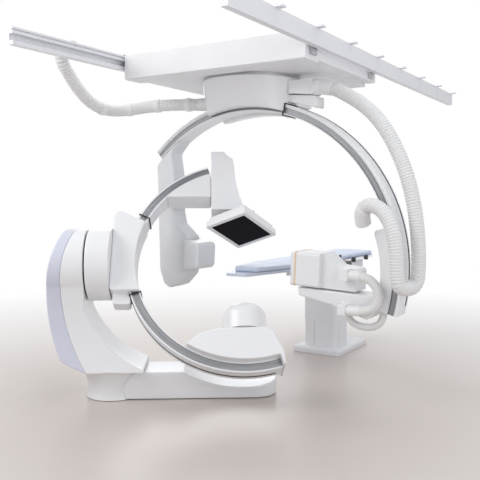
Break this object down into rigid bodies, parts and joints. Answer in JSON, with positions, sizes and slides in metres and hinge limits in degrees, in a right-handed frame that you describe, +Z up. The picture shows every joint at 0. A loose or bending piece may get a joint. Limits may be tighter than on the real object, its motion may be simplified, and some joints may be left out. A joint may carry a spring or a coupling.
{
  "type": "angiography system",
  "caption": "Biplane angiography system: floor stand with a C-arm, a ceiling-hung lateral C-arm on rails, and a floating patient table",
  "frame": {"origin": "centre of the floor anchor pattern, on the floor straight below the isocentre", "axes": "+Z up, +Y along the ceiling rails and the patient table towards the foot end, +X towards the lateral detector"},
  "size_m": [2.9423, 4.62, 2.795],
  "materials": {
    "white_gloss": "semi-gloss moulded covers",
    "white_paint": "satin powder coat",
    "blue_panel": "semi-gloss lavender blue",
    "dark_trim": "matte",
    "belt_rubber": "matte",
    "wheel_rubber": "matte",
    "arc_aluminium": "brushed and anodised",
    "machined_steel": "machined",
    "rail_aluminium": "anodised",
    "bright_steel": "polished",
    "gasket_rubber": "soft satin",
    "pad_fabric": "wipe-clean coated foam",
    "hose_plastic": "ribbed conduit",
    "control_black": "fine texture",
    "stop_red": "gloss"
  },
  "bodies": {
    "building": {"floor_anchor_plate": "machined_steel", "left_ceiling_rail": "rail_aluminium", "right_ceiling_rail": "rail_aluminium", "ceiling_hose_outlet": "white_paint", "table_plinth": "white_paint", "table_lower_shroud": "white_paint"},
    "floor_arm": {"floor_arm": "white_gloss", "pedestal": "white_gloss", "column_swivel_bearing": "machined_steel"},
    "column": {"column": "white_gloss", "column_back_cover": "blue_panel", "roll_bearing": "dark_trim"},
    "arc_carriage": {"roll_barrel": "white_gloss", "arc_carriage": "white_gloss", "orbit_gearbox": "white_paint"},
    "frontal_pulley": {"frontal_drive_pulley": "machined_steel"},
    "frontal_c_arm": {"frontal_arc": "arc_aluminium", "frontal_arc_belt": "belt_rubber", "frontal_detector_arm": "white_gloss", "frontal_mast": "white_gloss", "frontal_tube_housing": "white_gloss", "frontal_xray_tube": "machined_steel", "frontal_collimator_cover": "white_gloss"},
    "frontal_lift": {"frontal_lift_slide": "machined_steel"},
    "frontal_detector": {"frontal_detector_housing": "white_gloss", "frontal_detector_window": "dark_trim"},
    "frontal_collimator": {"frontal_collimator": "machined_steel"},
    "ceiling_carriage": {"carriage_frame": "white_paint", "carriage_rear_beam": "white_paint", "travel_drive_box": "white_gloss", "carriage_roller_trucks": "machined_steel", "head_swivel_bearing": "machined_steel"},
    "front_wheels": {"front_wheels": "wheel_rubber"},
    "rear_wheels": {"rear_wheels": "wheel_rubber"},
    "swivel_head": {"swivel_head": "white_gloss", "head_hose_box": "white_gloss", "head_motor_housing": "white_gloss", "supply_hose": "hose_plastic"},
    "lateral_pulley": {"lateral_drive_pulley": "machined_steel"},
    "lateral_c_arm": {"lateral_arc": "arc_aluminium", "lateral_arc_belt": "belt_rubber", "lateral_end_housing": "white_gloss", "lateral_slide_base": "white_gloss", "lateral_tube_casing": "white_gloss", "lateral_xray_tube": "machined_steel", "lateral_collimator": "white_gloss", "main_hose": "hose_plastic", "detector_lower_hose": "hose_plastic"},
    "lateral_detector": {"lateral_detector_housing": "white_gloss", "lateral_detector_window": "dark_trim", "lateral_detector_gasket": "gasket_rubber", "detector_loop_hose": "hose_plastic"},
    "table_column": {"table_upper_shroud": "white_paint"},
    "table_cross_slide": {"table_slide_frame": "white_paint"},
    "table_top": {"tabletop": "arc_aluminium", "mattress": "pad_fabric", "accessory_rails": "bright_steel", "control_box": "control_black"},
    "joystick": {"control_joystick": "control_black"},
    "stop_button": {"stop_button": "stop_red"}
  },
  "joints": [
    {"name": "floor_pivot", "type": "hinge", "parent": "building", "child": "floor_arm", "pos_m": [0, 0, 0.03], "axis": [0, 0, 1], "range_deg": [0, 25]},
    {"name": "column_swivel", "type": "hinge", "parent": "floor_arm", "child": "column", "pos_m": [-0.87611, -0.60552, 0.2], "axis": [0, 0, 1], "range_deg": [-10, 0]},
    {"name": "frontal_roll", "type": "hinge", "parent": "column", "child": "arc_carriage", "pos_m": [-0.98717, -0.68227, 1.075], "axis": [0.8226, 0.5686, 0], "range_deg": [0, 32]},
    {"name": "frontal_orbit", "type": "hinge", "parent": "arc_carriage", "child": "frontal_c_arm", "pos_m": [0, 0, 1.075], "axis": [0.4822, -0.6976, 0.5299], "range_deg": [-10, 12]},
    {"name": "frontal_pulley_spin", "type": "hinge", "parent": "arc_carriage", "child": "frontal_pulley", "pos_m": [-0.82548, -0.54475, 1.06175], "axis": [0.4822, -0.6976, 0.5299], "range_deg": [-325, 271]},
    {"name": "frontal_detector_lift", "type": "slide", "parent": "frontal_c_arm", "child": "frontal_lift", "axis": [-0.3013, 0.4359, 0.848], "range_m": [-0.1, 0]},
    {"name": "frontal_detector_spin", "type": "hinge", "parent": "frontal_lift", "child": "frontal_detector", "pos_m": [-0.1175, 0.17001, 1.40574], "axis": [-0.3013, 0.4359, 0.848], "range_deg": [-52.6, 37.4]},
    {"name": "frontal_collimator_spin", "type": "hinge", "parent": "frontal_c_arm", "child": "frontal_collimator", "pos_m": [0.16571, -0.23976, 0.60857], "axis": [-0.3013, 0.4359, 0.848], "range_deg": [-52.6, 37.4]},
    {"name": "carriage_travel", "type": "slide", "parent": "building", "child": "ceiling_carriage", "axis": [0, 1, 0], "range_m": [0, 1.9], "deforming": ["supply_hose"]},
    {"name": "front_wheels_spin", "type": "hinge", "parent": "ceiling_carriage", "child": "front_wheels", "pos_m": [0, -0.4, 2.716], "axis": [1, 0, 0], "range_deg": [-4797, 0]},
    {"name": "rear_wheels_spin", "type": "hinge", "parent": "ceiling_carriage", "child": "rear_wheels", "pos_m": [0, 0.7, 2.716], "axis": [1, 0, 0], "range_deg": [-4797, 0]},
    {"name": "head_swivel", "type": "hinge", "parent": "ceiling_carriage", "child": "swivel_head", "pos_m": [0, 0.15, 2.58], "axis": [0, 0, 1], "range_deg": [-8, 0]},
    {"name": "lateral_orbit", "type": "hinge", "parent": "swivel_head", "child": "lateral_c_arm", "pos_m": [0, 0.15, 1.075], "axis": [0, -1, 0], "range_deg": [0, 12], "deforming": ["main_hose"]},
    {"name": "lateral_pulley_spin", "type": "hinge", "parent": "swivel_head", "child": "lateral_pulley", "pos_m": [0, 0.212, 2.4518], "axis": [0, -1, 0], "range_deg": [-457, 0]},
    {"name": "lateral_detector_slide", "type": "slide", "parent": "lateral_c_arm", "child": "lateral_detector", "axis": [0.999, 0, -0.0436], "range_m": [-0.12, 0.1], "deforming": ["detector_loop_hose"]},
    {"name": "table_lift", "type": "slide", "parent": "building", "child": "table_column", "axis": [0, 0, 1], "range_m": [-0.08, 0.03]},
    {"name": "table_cross_float", "type": "slide", "parent": "table_column", "child": "table_cross_slide", "axis": [1, 0, 0], "range_m": [-0.08, 0.08]},
    {"name": "table_long_float", "type": "slide", "parent": "table_cross_slide", "child": "table_top", "axis": [0, 1, 0], "range_m": [-0.3, 0.9]},
    {"name": "joystick_tilt", "type": "hinge", "parent": "table_top", "child": "joystick", "pos_m": [0.2373, 1.46, 0.9773], "axis": [1, 0, 0], "range_deg": [-14, 14], "stiffness_Nm_per_rad": 1},
    {"name": "stop_button_press", "type": "slide", "parent": "table_top", "child": "stop_button", "axis": [0, 0, 1], "range_m": [-0.004, 0], "stiffness_N_per_m": 400, "springref_m": 0.002}
  ],
  "couplings": [
    {"joint": "frontal_pulley_spin", "follows": "frontal_orbit", "ratio": -27.011},
    {"joint": "lateral_pulley_spin", "follows": "lateral_orbit", "ratio": -38.003},
    {"joint": "frontal_collimator_spin", "follows": "frontal_detector_spin", "ratio": 1},
    {"joint": "front_wheels_spin", "follows": "carriage_travel", "rad_per_m": -44.053},
    {"joint": "rear_wheels_spin", "follows": "carriage_travel", "rad_per_m": -44.053}
  ]
}
